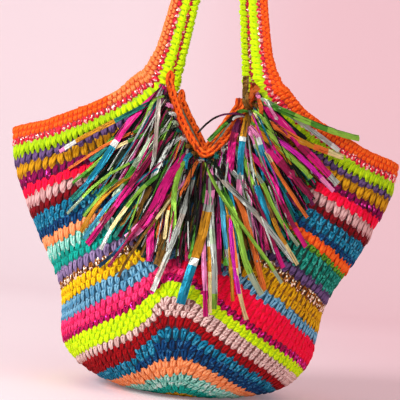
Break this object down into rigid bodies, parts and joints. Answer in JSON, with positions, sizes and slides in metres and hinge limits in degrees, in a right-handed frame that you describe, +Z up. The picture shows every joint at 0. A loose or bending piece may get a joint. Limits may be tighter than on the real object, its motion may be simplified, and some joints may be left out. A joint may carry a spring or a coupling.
{
  "type": "handbag",
  "caption": "Crocheted tote bag in stripes that rise to a point at the front, with long handles, a V-shaped neck and a fringe of foil strips.",
  "frame": {"origin": "middle of the flat base, on the surface that the bag stands on", "axes": "+Z up, +X to the right as the front is seen, the front with its fringe faces -Y"},
  "size_m": [0.4108, 0.2516, 0.5526],
  "materials": {
    "striped_crochet": "crocheted acrylic yarn in stripes, matt",
    "rim_crochet": "crocheted acrylic yarn in neon yellow, red glitter and orange, matt",
    "orange_crochet": "chain of orange acrylic yarn, matt",
    "lining_cloth": "plain woven cotton, matt",
    "foil_strips": "metallised film strips in many colours, glossy"
  },
  "bodies": {
    "root": {"body": "striped_crochet", "rim_and_handles": "rim_crochet", "front_neck_trim": "orange_crochet", "back_neck_trim": "orange_crochet", "lining": "lining_cloth", "fringe_tuft_01": "foil_strips", "fringe_tuft_02": "foil_strips", "fringe_tuft_03": "foil_strips", "fringe_tuft_04": "foil_strips", "fringe_tuft_05": "foil_strips", "fringe_tuft_06": "foil_strips", "fringe_tuft_07": "foil_strips", "fringe_tuft_08": "foil_strips", "fringe_tuft_09": "foil_strips", "fringe_tuft_10": "foil_strips", "fringe_tuft_11": "foil_strips", "fringe_tuft_12": "foil_strips", "fringe_tuft_13": "foil_strips", "fringe_tuft_14": "foil_strips", "fringe_tuft_15": "foil_strips", "fringe_tuft_16": "foil_strips", "fringe_tuft_17": "foil_strips", "fringe_tuft_18": "foil_strips", "fringe_tuft_19": "foil_strips", "fringe_tuft_20": "foil_strips"}
  },
  "joints": []
}
